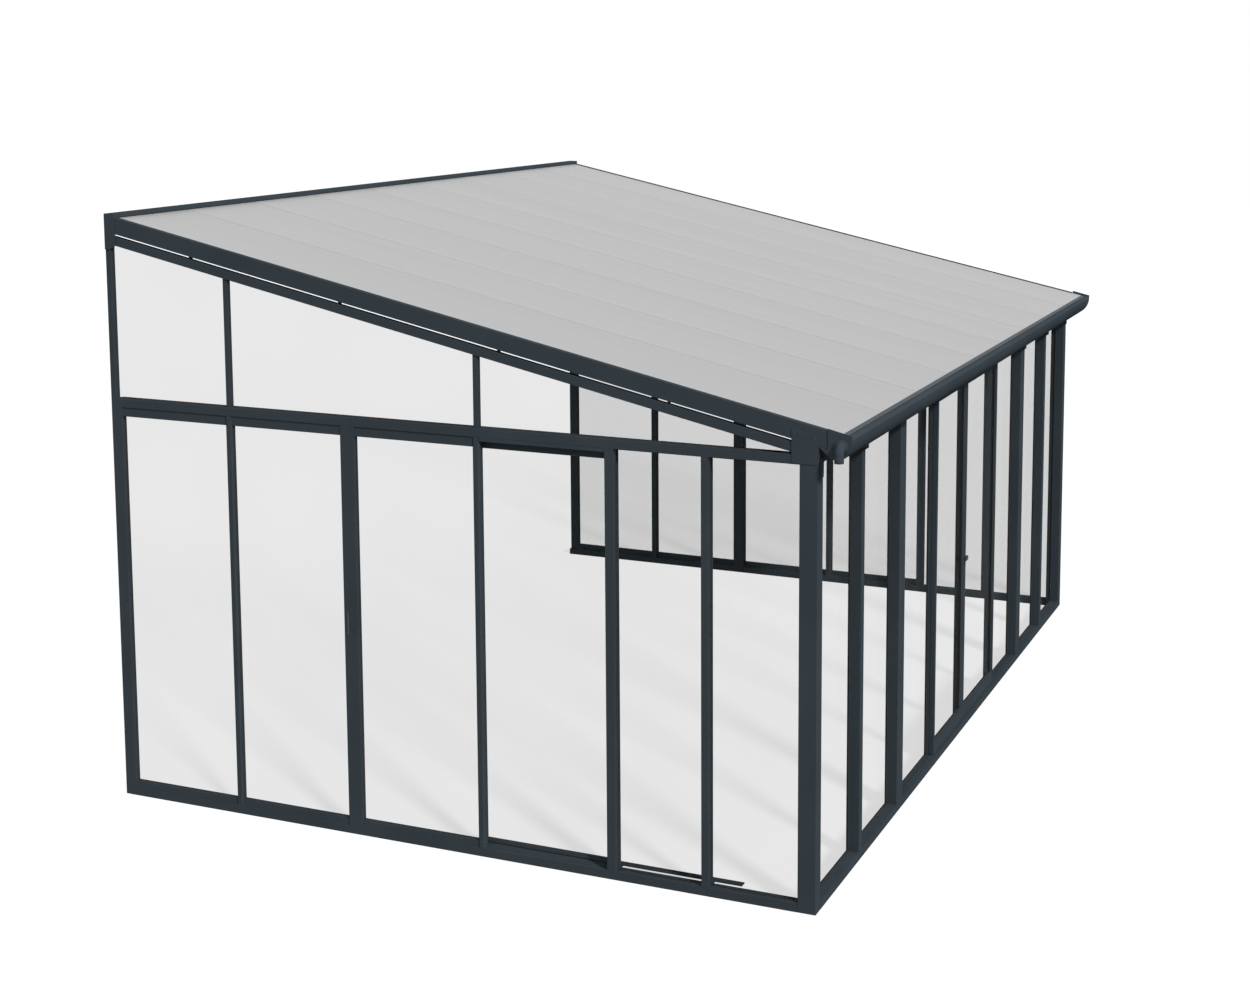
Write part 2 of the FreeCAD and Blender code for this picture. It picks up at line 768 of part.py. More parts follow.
def latch_plate():
    """Upright keeper plate on the wide stud."""
    y = wide1[0] + 0.7 * wide_stud
    return box(-latch_plate_thickness, 0, y - latch_plate_width / 2, y + latch_plate_width / 2,
               latch_plate_foot, latch_plate_foot + latch_plate_height)


class Leaf:
    """A sliding leaf described along its wall: a along the travel, d into the wall, z up."""

    def __init__(self, a0, a1, d0, ridge_top, top, stile, foot_rail, place):
        self.a0 = a0
        self.a1 = a1
        self.stile = stile
        self.d0 = d0
        self.d1 = d0 + leaf_thickness
        self.centre = d0 + leaf_thickness / 2
        self.foot = ridge_top + running_gap
        self.foot_top = self.foot + foot_rail
        self.axle_z = ridge_top + roller_play + roller_radius
        self.top = top
        self.place = place

    def block(self, a0, a1, d0, d1, z0, z1):
        x0, y0 = self.place(a0, d0)
        x1, y1 = self.place(a1, d1)
        return box(min(x0, x1), max(x0, x1), min(y0, y1), max(y0, y1), z0, z1)

    def groove(self, a0, a1, z0, z1):
        half = pane / 2 + pane_clearance
        return self.block(a0, a1, self.centre - half, self.centre + half, z0, z1)

    def roller_places(self):
        return (self.a0 + self.stile + roller_inset, self.a1 - self.stile - roller_inset)

    def axle(self, a, radius, half_length):
        x0, y0 = self.place(a, self.centre - half_length)
        x1, y1 = self.place(a, self.centre + half_length)
        start = vector(x0, y0, self.axle_z)
        return Part.makeCylinder(radius, 2 * half_length, start, vector(x1 - x0, y1 - y0, 0))

    def frame(self):
        """Two stiles, a top rail with a guide tongue, a bottom rail with roller pockets, and the axles."""
        inner0 = self.a0 + self.stile
        inner1 = self.a1 - self.stile
        head_foot = self.top - leaf_top_rail
        pieces = []
        for low, high, groove_low in ((self.a0, inner0, inner0 - groove_depth), (inner1, self.a1, inner1)):
            upright = self.block(low, high, self.d0, self.d1, self.foot, self.top)
            pieces.append(upright.cut(self.groove(groove_low, groove_low + groove_depth, self.foot, self.top)))
        bottom = self.block(inner0, inner1, self.d0, self.d1, self.foot, self.foot_top)
        bottom = bottom.cut(self.groove(inner0, inner1, self.foot_top - leaf_groove, self.foot_top))
        half_pocket = roller_width / 2 + pocket_clearance
        pocket_reach = roller_radius + pocket_clearance
        half_axle = half_pocket + skin
        for a in self.roller_places():
            bottom = bottom.cut(self.block(a - pocket_reach, a + pocket_reach, self.centre - half_pocket,
                                           self.centre + half_pocket, self.foot, self.axle_z + pocket_reach))
            bottom = bottom.cut(self.axle(a, axle_radius, half_axle))
        pieces.append(bottom)
        head = self.block(inner0, inner1, self.d0, self.d1, head_foot, self.top)
        head = head.cut(self.groove(inner0, inner1, head_foot, head_foot + groove_depth))
        half_tongue = leaf_tongue_width / 2
        head = head.fuse(self.block(inner0, inner1, self.centre - half_tongue, self.centre + half_tongue,
                                    self.top, self.top + leaf_tongue))
        pieces.append(head.removeSplitter())
        pieces += [self.axle(a, axle_radius, half_axle) for a in self.roller_places()]
        return pieces

    def glass(self):
        """The leaf's clear pane, set in the frame's grooves."""
        return self.block(self.a0 + self.stile - seat, self.a1 - self.stile + seat, self.centre - pane / 2,
                          self.centre + pane / 2, self.foot_top - leaf_groove, self.top - leaf_top_rail + seat)

    def roller(self, a):
        """A small wheel on the axle."""
        wheel = self.axle(a, roller_radius, roller_width / 2)
        return wheel.cut(self.axle(a, axle_radius + axle_clearance, roller_width))

    def guide(self, a0, a1, d0, d1, top):
        """Channel over the leaf's tongue."""
        half_slot = leaf_tongue_width / 2 + guide_clearance
        bar = self.block(a0, a1, d0, d1, self.top + guide_clearance, top)
        return bar.cut(self.block(a0, a1, self.centre - half_slot, self.centre + half_slot,
                                  self.top + guide_clearance, self.top + leaf_tongue + guide_clearance))

    def ridge(self, a0, a1, centre, foot):
        half = track_ridge_width / 2
        return self.block(a0, a1, centre - half, centre + half, foot, foot + track_ridge_height)


side_track_top = base_height - side_track_drop + track_plate
side_ridge_top = side_track_top + track_ridge_height
side_leaf_low = wide2[0] + side_stile / 2
side_leaf_high = thin2[1] + side_leaf_overlap
side_leaf = Leaf(side_leaf_low, side_leaf_high, side_leaf_set_back, side_ridge_top,
                 header_bottom - guide_clearance * 2 - leaf_tongue - guide_wall, side_stile, side_foot_rail,
                 lambda a, d: (d, a))
side_track_end = side_leaf_low - side_leaf_travel - running_gap

front_ridge_top = base_height + track_plate + track_ridge_height
front_leaf_top = beam_bottom - guide_wall - leaf_tongue - 2 * guide_clearance
front_leaf_left = Leaf(front_span(slim_fronts[0])[0], meeting_line - meeting_gap / 2, front_leaf_set_back,
                       front_ridge_top, front_leaf_top, front_stile, front_foot_rail, lambda a, d: (a, d))
front_leaf_right = Leaf(meeting_line + meeting_gap / 2, front_span(slim_fronts[2])[1], front_leaf_set_back,
                        front_ridge_top, front_leaf_top, front_stile, front_foot_rail, lambda a, d: (a, d))
front_run = (front_span(wide_fronts[0])[1], front_span(wide_fronts[1])[0])


def door_tracks():
    """Two-ridge track inside the left gable, on lugs from the floor rail, and the track on the front rail."""
    start = side_leaf_high
    plate_foot = side_track_top - track_plate
    back = side_track_front + side_track_width
    side = side_leaf.block(side_track_end, start, side_track_front, back, plate_foot, side_track_top)
    second_ridge = back - track_ridge_width
    for centre in (side_leaf.centre, second_ridge):
        side = side.fuse(side_leaf.ridge(side_track_end, start, centre, side_track_top))
    for low, high in (thin3, wide2, thin2):
        side = side.fuse(side_leaf.block(low, high, wall_depth, back, plate_foot - skin, plate_foot))
    front = front_leaf_left.block(*front_run, front_leaf_left.d0, front_leaf_left.d1, base_height,
                                  base_height + track_plate)
    front = front.fuse(front_leaf_left.ridge(*front_run, front_leaf_left.centre, base_height + track_plate))
    return [side.removeSplitter(), front.removeSplitter()]


def door_guides():
    """Channels over the leaves' tongues, on the header's inner face and under the front beam."""
    side = side_leaf.guide(side_track_end, side_leaf_high, wall_depth, side_leaf.d1,
                           header_bottom + header_height / 2)
    front = front_leaf_left.guide(*front_run, front_leaf_left.d0, front_leaf_left.d1, beam_bottom)
    return [side, front]


def front_pull(leaf, a):
    """Pull on a meeting stile: a grip on two posts."""
    foot = pull_level
    grip = leaf.block(a - pull_width / 2, a + pull_width / 2, leaf.d0 - pull_reach,
                      leaf.d0 - pull_reach / 2, foot, foot + pull_height)
    post_height = pull_height / 5
    for z in (foot, foot + pull_height - post_height):
        grip = grip.fuse(leaf.block(a - pull_width / 4, a + pull_width / 4, leaf.d0 - pull_reach / 2, leaf.d0,
                                    z, z + post_height))
    return grip.removeSplitter()


def side_pull():
    """Flat pull plate on the side leaf's leading stile."""
    a = side_leaf.a1 - side_stile / 2
    return side_leaf.block(a - pull_width / 2, a + pull_width / 2, side_leaf.d1, side_leaf.d1 + side_pull_reach,
                           pull_level, pull_level + pull_height)


def main():
    os.makedirs("parts", exist_ok=True)
    export("base_rail_front", [base_rail_front()])
    export("base_rail_left", [base_rail_gable()])
    export("base_rail_right", [mirrored(base_rail_gable())])
    export("corner_post_left", [corner_post()])
    export("corner_post_right", [mirrored(corner_post())])
    export("wall_posts", [wall_post(), mirrored(wall_post())])
    export("wall_rail", [wall_rail()])
    export("wall_rail_caps", [wall_rail_cap(), mirrored(wall_rail_cap())])
    export("edge_rafter_left", [edge_rafter()])
    export("edge_rafter_right", [mirrored(edge_rafter())])
    export("roof_joiners", [roof_joiner(k) for k in range(1, panel_count)])
    for k in range(panel_count):
        export(f"roof_panel_{k + 1}", [roof_panel(k)])
    export("gutter", [gutter()])
    left_cap = gutter_cap()
    bore = face_of(outlet_ring(outlet_bore, 0)).extrude(vector(gutter_cap_thickness, 0, 0))
    export("gutter_cap_left", [left_cap.cut(bore)])
    export("gutter_cap_right", [mirrored(gutter_cap())])
    export("gutter_outlet", [gutter_outlet()])
    export("gable_rails", [gable_rail(), mirrored(gable_rail())])
    export("gable_rail_spacers", rail_spacers() + [mirrored(s) for s in rail_spacers()])
    export("header_left", [gable_header()])
    export("header_right", [mirrored(gable_header())])
    export("front_beam", [front_beam()])
    export("studs_left", gable_studs(True))
    export("studs_right", [mirrored(s) for s in gable_studs(False)])
    export("studs_front", front_studs())
    export("upper_mullions", upper_mullions() + [mirrored(s) for s in upper_mullions()])
    export("bay_rails", bay_rails(True) + [mirrored(s) for s in bay_rails(False)])
    export("upper_panes", upper_panes() + [mirrored(s) for s in upper_panes()])
    export("lower_panes_left", lower_panes(True))
    export("lower_panes_right", [mirrored(s) for s in lower_panes(False)])
    export("front_panes", front_panes())
    export("corner_gussets", [corner_gusset(), mirrored(corner_gusset())])
    export("gutter_brackets", gutter_brackets())
    export("frame_screws", screws())
    export("latch_plate", [latch_plate()])
    export("door_tracks", door_tracks())
    export("door_guides", door_guides())
    leaves = {"side": side_leaf, "front_left": front_leaf_left, "front_right": front_leaf_right}
    for name, leaf in leaves.items():
        export(f"{name}_leaf_frame", leaf.frame())
        export(f"{name}_leaf_pane", [leaf.glass()])
        for number, a in enumerate(leaf.roller_places(), 1):
            export(f"{name}_roller_{number}", [leaf.roller(a)])
    export("side_leaf_pull", [side_pull()])
    export("front_left_leaf_pull", [front_pull(front_leaf_left, front_leaf_left.a1 - front_stile / 2)])
    export("front_right_leaf_pull", [front_pull(front_leaf_right, front_leaf_right.a0 + front_stile / 2)])


main()
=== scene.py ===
"""Looks of the lean-to conservatory: camera, light, materials and the small trim that the solids leave out.

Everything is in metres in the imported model's frame: X along the house, Y from the front wall to the house,
and Z up.
Sections of trim are lists of points across the piece, measured from the CAD edge that the piece sits on.
"""
import bmesh
import bpy
import json
import math
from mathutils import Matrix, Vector


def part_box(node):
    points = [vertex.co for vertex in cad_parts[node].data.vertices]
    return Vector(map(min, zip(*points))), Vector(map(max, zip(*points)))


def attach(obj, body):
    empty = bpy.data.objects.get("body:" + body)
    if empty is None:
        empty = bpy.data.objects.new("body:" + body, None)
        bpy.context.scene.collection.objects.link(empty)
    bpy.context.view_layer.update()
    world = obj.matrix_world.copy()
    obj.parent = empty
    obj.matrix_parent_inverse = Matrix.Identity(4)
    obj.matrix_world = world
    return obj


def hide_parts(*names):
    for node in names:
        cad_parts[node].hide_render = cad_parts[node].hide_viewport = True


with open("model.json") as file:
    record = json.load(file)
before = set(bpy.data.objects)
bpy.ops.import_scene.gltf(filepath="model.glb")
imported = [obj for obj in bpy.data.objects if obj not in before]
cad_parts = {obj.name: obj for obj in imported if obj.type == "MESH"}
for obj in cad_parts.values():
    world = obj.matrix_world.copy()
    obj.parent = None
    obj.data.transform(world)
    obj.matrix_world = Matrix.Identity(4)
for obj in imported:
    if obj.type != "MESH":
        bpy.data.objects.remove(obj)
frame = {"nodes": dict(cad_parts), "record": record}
nodes = frame["nodes"]
slot_of = {part["node"]: part["material_slot"] for part in frame["record"]["subparts"]}
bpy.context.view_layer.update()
scene = bpy.context.scene
scene.view_settings.view_transform = "Standard"

LEAVES = ("side_leaf", "front_left_leaf", "front_right_leaf")

# Camera: pixels of the photograph, metres and radians
PHOTO_WIDTH = 1250
PHOTO_HEIGHT = 1001
SENSOR = 36.0
FOCAL_PIXELS = 1893.48
PRINCIPAL = (721.48, 285.0)
CAMERA_PLACE = (-10.7701, -4.6838, 4.0185)
CAMERA_YAW = 1.18773
CAMERA_PITCH = 0.12014
CAMERA_REACH = 200.0

# Light: the second sun only draws the shadows of standing members on the floor
SUN_DIRECTION = (0.36, 0.70, -0.62)
SUN_STRENGTH = 2.7
SUN_SOFTNESS = math.radians(4.0)
FLOOR_SUN_DIRECTION = (0.56, 0.77, -0.306)
FLOOR_SUN_STRENGTH = 29.0
FLOOR_SUN_SOFTNESS = math.radians(9.0)
SKY_STRENGTH = 0.72
SKY_WHITE = 1.0
STANDING_HEIGHT = 0.1
HOUSE_SIDE = ("wall_posts", "bay_rails")

# Floor: FLOOR_TONE is its colour, and the last two are its glow, for light and as background
FLOOR_REACH = 40.0
FLOOR_TONE = 0.05
FLOOR_BOUNCE = 0.12
FLOOR_WHITE = 0.87

# Colours
WHITE = (1.0, 1.0, 1.0, 1.0)
COAT_DARK = (0.0363, 0.0472, 0.0556)
COAT_LIGHT = (0.0429, 0.0551, 0.0646)
PANE_FILM = (0.008, 0.009, 0.009, 1.0)
SHEET_DARK = (0.322, 0.322, 0.322)
SHEET_LIGHT = (0.336, 0.336, 0.336)
SHEET_PALE = (0.37, 0.37, 0.37)
# Painted shade: the tone that each roof panel darkens to at one edge
SHEET_PAINTED_SHADE = (0.30, 0.30, 0.30)
STEEL_DARK = (0.05, 0.054, 0.058)
STEEL_LIGHT = (0.08, 0.085, 0.09)
NYLON_DARK = (0.05, 0.05, 0.05)
NYLON_LIGHT = (0.07, 0.07, 0.07)
GRIP_DARK = (0.012, 0.013, 0.014)
GRIP_LIGHT = (0.018, 0.019, 0.02)
RUBBER_DARK = (0.008, 0.008, 0.009)
RUBBER_LIGHT = (0.014, 0.014, 0.015)

# Roof: a wave texture repeats WAVE_STEP times its scale in each 2 pi metres
PANEL_COUNT = 9
PANEL_HEIGHT = 0.016
WAVE_STEP = 20.0
CHAMBER_SCALE = 13.3
JOINT_WIDTH = 0.003
JOINT_SECTION = ((0.0001, -0.007), (0.0029, -0.007), (0.0029, -0.0012), (0.0015, -0.0004), (0.0001, -0.0012))
TRIM_SECTION = ((-0.0016, -0.0176), (0.012, -0.0176), (0.012, -0.0161), (-0.0001, -0.0161), (-0.0001, 0.0001),
                (0.0235, 0.0001), (0.0235, 0.0011), (0.023, 0.0016), (-0.0006, 0.0016), (-0.0016, 0.0006))

# Pane seals: the seats are how far the members cover a pane's edges
SEAL_SECTION = ((0.0, 0.0), (0.0, 0.0026), (0.0016, 0.0034), (0.0036, 0.0024), (0.0046, 0.0))
SEAL_SMOOTH = math.radians(50.0)
SEAT = 0.0097
LEAF_SEAT = 0.0035
WEDGE_START = 0.19
SAME_FACE = 0.0005
SAME_EDGE = 0.01

# Screws: the profile has parts of the radius and height, and the number of flats; the ledge's screws are
# placed from the front left corner
SCREW_PROFILE = ((1.0, 0.0, 0), (1.0, 0.3, 0), (0.93, 0.68, 0), (0.74, 0.93, 0), (0.5, 1.0, 0),
                 (0.42, 1.0, 6), (0.42, 0.45, 6))
SCREW_SIDES = 24
SCREW_SMOOTH = math.radians(35.0)
LEDGE_SCREWS = ((1.138, 0.046), (4.622, 0.04))
LEDGE_RADIUS = 0.007
LEDGE_HEIGHT = 0.003

# Gutter outlet: the collar is (radius, reach), the rim (reach, radius)
OUTLET_SIDES = 40
OUTLET_STEPS = 14
OUTLET_PIPE = 0.0222
OUTLET_BORE = 0.019
OUTLET_BEND = 0.034
OUTLET_SOCKET = 0.036
OUTLET_COLLAR = ((0.033, 0.0), (0.033, 0.0085), (0.0322, 0.0108), (0.030, 0.012), (0.0262, 0.012),
                 (0.0246, 0.0128), (0.0236, 0.0148), (0.0222, 0.0165))
OUTLET_RIM = ((0.0, 0.0222), (0.010, 0.0222), (0.011, 0.0225), (0.0345, 0.0225), (0.036, 0.0218),
              (0.036, 0.0200))
OUTLET_SMOOTH = math.radians(40.0)

# Pulls: the profile has parts of the width and depth of the CAD block, and the posts' one (radius, reach)
PULL_SIDES = 28
PULL_SQUARE = 0.5
PULL_PROFILE = ((1.0, 0.0), (1.0, 0.55), (0.97, 0.74), (0.89, 0.9), (0.76, 0.98), (0.6, 1.0))
PULL_OVERLAP = 0.001
POST_LEVELS = (0.16, 0.84)
POST_SIDES = 20
POST_PROFILE = ((0.0052, 0.0), (0.0052, 0.001), (0.0036, 0.0025), (0.0034, 0.0095))
PULL_SMOOTH = math.radians(60.0)

# Side doorway
THRESHOLD_SECTION = ((0.0002, -0.003), (0.0198, -0.003), (0.0198, -0.0006), (0.0192, 0.0), (0.0150, 0.0),
                     (0.0145, -0.0006), (0.0125, -0.0006), (0.0120, 0.0), (0.0080, 0.0), (0.0075, -0.0006),
                     (0.0055, -0.0006), (0.0050, 0.0), (0.0008, 0.0), (0.0002, -0.0006))
DOOR_HEAD_SECTION = ((0.0, 0.0), (0.0, -0.0185), (0.0015, -0.020), (0.034, -0.020), (0.034, -0.017),
                     (0.005, -0.017), (0.005, 0.0))

# Edge radii
WELD_REACH = 0.00002
FLAT_ANGLE = math.radians(0.5)
EDGE_RADIUS = 0.0015
EDGE_SEGMENTS = 2
EDGE_ANGLE = math.radians(40.0)
NORMAL_WEIGHT = 80


def add_camera():
    data = bpy.data.cameras.new("camera")
    data.sensor_fit = "HORIZONTAL"
    data.sensor_width = SENSOR
    data.lens = FOCAL_PIXELS * SENSOR / PHOTO_WIDTH
    data.shift_x = (PHOTO_WIDTH / 2 - PRINCIPAL[0]) / PHOTO_WIDTH
    data.shift_y = (PRINCIPAL[1] - PHOTO_HEIGHT / 2) / PHOTO_WIDTH
    data.clip_end = CAMERA_REACH
    camera = bpy.data.objects.new("camera", data)
    camera.location = CAMERA_PLACE
    camera.rotation_euler = (math.pi / 2 - CAMERA_PITCH, 0.0, -CAMERA_YAW)
    scene.collection.objects.link(camera)
    scene.camera = camera


class Surface:
    """A node material with one Principled shader and a few helpers to wire it."""

    def __init__(self, name):
        self.material = bpy.data.materials.new(name)
        self.material.use_nodes = True
        self.tree = self.material.node_tree
        self.shader = self.tree.nodes["Principled BSDF"]
        self.output = self.tree.nodes["Material Output"]
        self.place = self.add("ShaderNodeTexCoord").outputs["Object"]

    def add(self, kind, **settings):
        node = self.tree.nodes.new(kind)
        for key, value in settings.items():
            setattr(node, key, value)
        return node

    def link(self, source, target):
        self.tree.links.new(source, target)

    def set(self, **values):
        for key, value in values.items():
            self.shader.inputs[key.replace("_", " ")].default_value = value

    def feed(self, **sources):
        """Links textures to the shader's sockets."""
        for key, source in sources.items():
            self.link(source, self.shader.inputs[key.replace("_", " ")])

    def noise(self, scale, detail=2.0, stretch=(1.0, 1.0, 1.0)):
        mapping = self.add("ShaderNodeMapping")
        mapping.inputs["Scale"].default_value = stretch
        self.link(self.place, mapping.inputs["Vector"])
        texture = self.add("ShaderNodeTexNoise")
        texture.inputs["Scale"].default_value = scale
        texture.inputs["Detail"].default_value = detail
        self.link(mapping.outputs["Vector"], texture.inputs["Vector"])
        return texture.outputs["Fac"]

    def bands(self, scale, profile="SIN", phase=0.0):
        """Straight bands across X."""
        wave = self.add("ShaderNodeTexWave", bands_direction="X", wave_profile=profile)
        wave.inputs["Scale"].default_value = scale
        wave.inputs["Phase Offset"].default_value = phase
        wave.inputs["Distortion"].default_value = 0.0
        self.link(self.place, wave.inputs["Vector"])
        return wave.outputs["Fac"]

    def spread(self, source, low, high, start=0.3, end=0.7):
        """Maps a texture's value to a range."""
        node = self.add("ShaderNodeMapRange")
        node.inputs["From Min"].default_value = start
        node.inputs["From Max"].default_value = end
        node.inputs["To Min"].default_value = low
        node.inputs["To Max"].default_value = high
        self.link(source, node.inputs["Value"])
        return node.outputs["Result"]

    def mix(self, factor, low, high):
        """Colour between two colours."""
        node = self.add("ShaderNodeMix", data_type="RGBA")
        self.link(factor, node.inputs["Factor"])
        for socket, value in zip((node.inputs[6], node.inputs[7]), (low, high)):
            if isinstance(value, tuple):
                socket.default_value = (*value, 1.0)
            else:
                self.link(value, socket)
        return node.outputs[2]

    def bump(self, height, strength, distance):
        node = self.add("ShaderNodeBump")
        node.inputs["Strength"].default_value = strength
        node.inputs["Distance"].default_value = distance
        self.link(height, node.inputs["Height"])
        self.feed(Normal=node.outputs["Normal"])


def powder_coat(name, rough, gloss):
    """Powder coating: a fine orange-peel grain and slow changes of tone."""
    surface = Surface(name)
    surface.set(Specular_IOR_Level=gloss)
    clouds = surface.spread(surface.noise(scale=2.5, detail=3.0), low=0.0, high=1.0)
    surface.feed(Base_Color=surface.mix(clouds, COAT_DARK, COAT_LIGHT),
                 Roughness=surface.spread(surface.noise(scale=60.0), low=rough - 0.05, high=rough + 0.05))
    surface.bump(surface.noise(scale=1100.0), strength=0.12, distance=0.0002)
    return surface.material


def clear_sheet(name):
    """Clear acrylic: a faint grey film on each face, in slow clouds. The lamps' light passes it."""
    surface = Surface(name)
    surface.set(Base_Color=PANE_FILM, Specular_IOR_Level=0.01)
    wipes = surface.noise(scale=3.0, detail=2.0, stretch=(1.0, 1.0, 0.3))
    surface.feed(Roughness=surface.spread(wipes, low=0.03, high=0.08),
                 Alpha=surface.spread(surface.noise(scale=1.7), low=0.119, high=0.127))
    clear = surface.add("ShaderNodeBsdfTransparent")
    path = surface.add("ShaderNodeLightPath")
    lamps_pass = surface.add("ShaderNodeMixShader")
    surface.link(path.outputs["Is Shadow Ray"], lamps_pass.inputs["Fac"])
    surface.link(surface.shader.outputs["BSDF"], lamps_pass.inputs[1])
    surface.link(clear.outputs["BSDF"], lamps_pass.inputs[2])
    surface.link(lamps_pass.outputs["Shader"], surface.output.inputs["Surface"])
    return surface.material


def roof_sheet(name):
    """Hollow-chamber sheet: pale and striped by its chamber walls, with painted shade that darkens each panel
    towards one edge.
    """
    surface = Surface(name)
    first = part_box("roof_panel_2")[0].x
    pitch = (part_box(f"roof_panel_{PANEL_COUNT}")[0].x - first) / (PANEL_COUNT - 2)
    # Painted shade: a saw-tooth ramp across each panel darkens it towards one edge
    painted_shade_ramp = surface.bands(math.tau / (WAVE_STEP * pitch), profile="SAW", phase=-math.tau * first / pitch)
    chambers = surface.bands(CHAMBER_SCALE)
    along = surface.noise(scale=1.6, detail=3.0, stretch=(4.0, 0.35, 0.35))
    tone = surface.mix(surface.spread(chambers, 0.0, 1.0, start=0.0, end=1.0), SHEET_DARK, SHEET_LIGHT)
    tone = surface.mix(surface.spread(along, low=0.0, high=0.35), tone, SHEET_PALE)
    tone = surface.mix(surface.spread(painted_shade_ramp, 0.0, 0.5, start=0.0, end=1.0), tone, SHEET_PAINTED_SHADE)
    surface.feed(Base_Color=tone, Roughness=surface.spread(along, low=0.42, high=0.52))
    surface.bump(surface.noise(scale=900.0), strength=0.05, distance=0.0002)
    return surface.material


def moulded(name, dark, light, rough):
    """Moulded plastic or rubber with a fine matt skin."""
    surface = Surface(name)
    clouds = surface.spread(surface.noise(scale=40.0), low=0.0, high=1.0)
    surface.feed(Base_Color=surface.mix(clouds, dark, light),
                 Roughness=surface.spread(surface.noise(scale=220.0), low=rough - 0.06, high=rough + 0.06))
    surface.bump(surface.noise(scale=2500.0), strength=0.1, distance=0.0001)
    return surface.material


def plated_steel(name):
    """Black zinc-plated steel with a fine grain."""
    surface = Surface(name)
    surface.set(Metallic=1.0)
    grain = surface.spread(surface.noise(scale=300.0), low=0.0, high=1.0)
    surface.feed(Base_Color=surface.mix(grain, STEEL_DARK, STEEL_LIGHT),
                 Roughness=surface.spread(surface.noise(scale=900.0), low=0.28, high=0.4))
    surface.bump(surface.noise(scale=3000.0), strength=0.08, distance=0.0001)
    return surface.material


def white_when_seen(tree, plain, white):
    """A value that is the white one for rays that show the background, and the plain one for light."""
    path = tree.nodes.new("ShaderNodeLightPath")
    seen = path.outputs["Is Camera Ray"]
    for other in ("Is Glossy Ray", "Is Transmission Ray"):
        both = tree.nodes.new("ShaderNodeMath")
        both.operation = "MAXIMUM"
        tree.links.new(seen, both.inputs[0])
        tree.links.new(path.outputs[other], both.inputs[1])
        seen = both.outputs["Value"]
    scaled = tree.nodes.new("ShaderNodeMath")
    scaled.operation = "MULTIPLY_ADD"
    scaled.inputs[1].default_value = white - plain
    scaled.inputs[2].default_value = plain
    tree.links.new(seen, scaled.inputs[0])
    return scaled.outputs["Value"]


def add_floor():
    mesh = bpy.data.meshes.new("floor")
    reach = FLOOR_REACH
    corners = [(-reach, -reach, 0.0), (reach, -reach, 0.0), (reach, reach, 0.0), (-reach, reach, 0.0)]
    mesh.from_pydata(corners, [], [(0, 1, 2, 3)])
    floor = bpy.data.objects.new("floor", mesh)
    scene.collection.objects.link(floor)
    surface = Surface("floor")
    surface.set(Base_Color=(FLOOR_TONE, FLOOR_TONE, FLOOR_TONE, 1.0), Roughness=1.0, Specular_IOR_Level=0.0,
                Emission_Color=WHITE)
    surface.feed(Emission_Strength=white_when_seen(surface.tree, FLOOR_BOUNCE, FLOOR_WHITE))
    mesh.materials.append(surface.material)
    return floor


def add_sun(name, strength, direction, softness):
    data = bpy.data.lights.new(name, "SUN")
    data.energy = strength
    data.angle = softness
    sun = bpy.data.objects.new(name, data)
    sun.rotation_euler = Vector(direction).to_track_quat("-Z", "Y").to_euler()
    scene.collection.objects.link(sun)
    return sun


def add_light(floor):
    """One soft sun on the object, a lower one that draws the walls' shadows on the floor, and an even sky."""
    sun = add_sun("sun", SUN_STRENGTH, SUN_DIRECTION, SUN_SOFTNESS)
    not_floor = bpy.data.collections.new("not_floor")
    not_floor.objects.link(floor)
    not_floor.collection_objects[0].light_linking.link_state = "EXCLUDE"
    sun.light_linking.receiver_collection = not_floor
    floor_sun = add_sun("floor_sun", FLOOR_SUN_STRENGTH, FLOOR_SUN_DIRECTION, FLOOR_SUN_SOFTNESS)
    floor_only = bpy.data.collections.new("floor_only")
    floor_only.objects.link(floor)
    floor_sun.light_linking.receiver_collection = floor_only
    standing = bpy.data.collections.new("standing")
    for name, node in nodes.items():
        if slot_of[name] == "frame" and name not in HOUSE_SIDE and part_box(name)[0].z < STANDING_HEIGHT:
            standing.objects.link(node)
    floor_sun.light_linking.blocker_collection = standing
    world = bpy.data.worlds.new("studio")
    world.use_nodes = True
    scene.world = world
    tree = world.node_tree
    sky = tree.nodes["Background"]
    sky.inputs["Color"].default_value = WHITE
    tree.links.new(white_when_seen(tree, SKY_STRENGTH, SKY_WHITE), sky.inputs["Strength"])


class Shape:
    """Corners and faces gathered for one piece."""

    def __init__(self):
        self.corners = []
        self.faces = []

    def loft(self, rings, round_ring=True, round_path=False, ends=(True, True)):
        """Joins rings of equal length with quads, and closes the ends asked for."""
        start = len(self.corners)
        count = len(rings[0])
        for ring in rings:
            self.corners += [tuple(corner) for corner in ring]
        steps = len(rings) if round_path else len(rings) - 1
        for step in range(steps):
            near = start + step * count
            far = start + (step + 1) % len(rings) * count
            for side in range(count if round_ring else count - 1):
                after = (side + 1) % count
                self.faces.append((near + side, near + after, far + after, far + side))
        if ends[0]:
            self.faces.append(tuple(start + side for side in reversed(range(count))))
        if ends[1]:
            last = start + (len(rings) - 1) * count
            self.faces.append(tuple(last + side for side in range(count)))

    def make(self, name, material, body, smooth=None):
        """Makes the object, lets it ride on a body, and smooths it where faces meet under an angle."""
        mesh = bpy.data.meshes.new(name)
        mesh.from_pydata(self.corners, [], self.faces)
        work = bmesh.new()
        work.from_mesh(mesh)
        bmesh.ops.recalc_face_normals(work, faces=work.faces)
        if smooth is not None:
            for edge in work.edges:
                edge.smooth = len(edge.link_faces) == 2 and edge.calc_face_angle() < smooth
            for face in work.faces:
                face.smooth = True
        work.to_mesh(mesh)
        work.free()
        mesh.materials.append(material)
        piece = bpy.data.objects.new(name, mesh)
        scene.collection.objects.link(piece)
        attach(piece, body)
        return piece


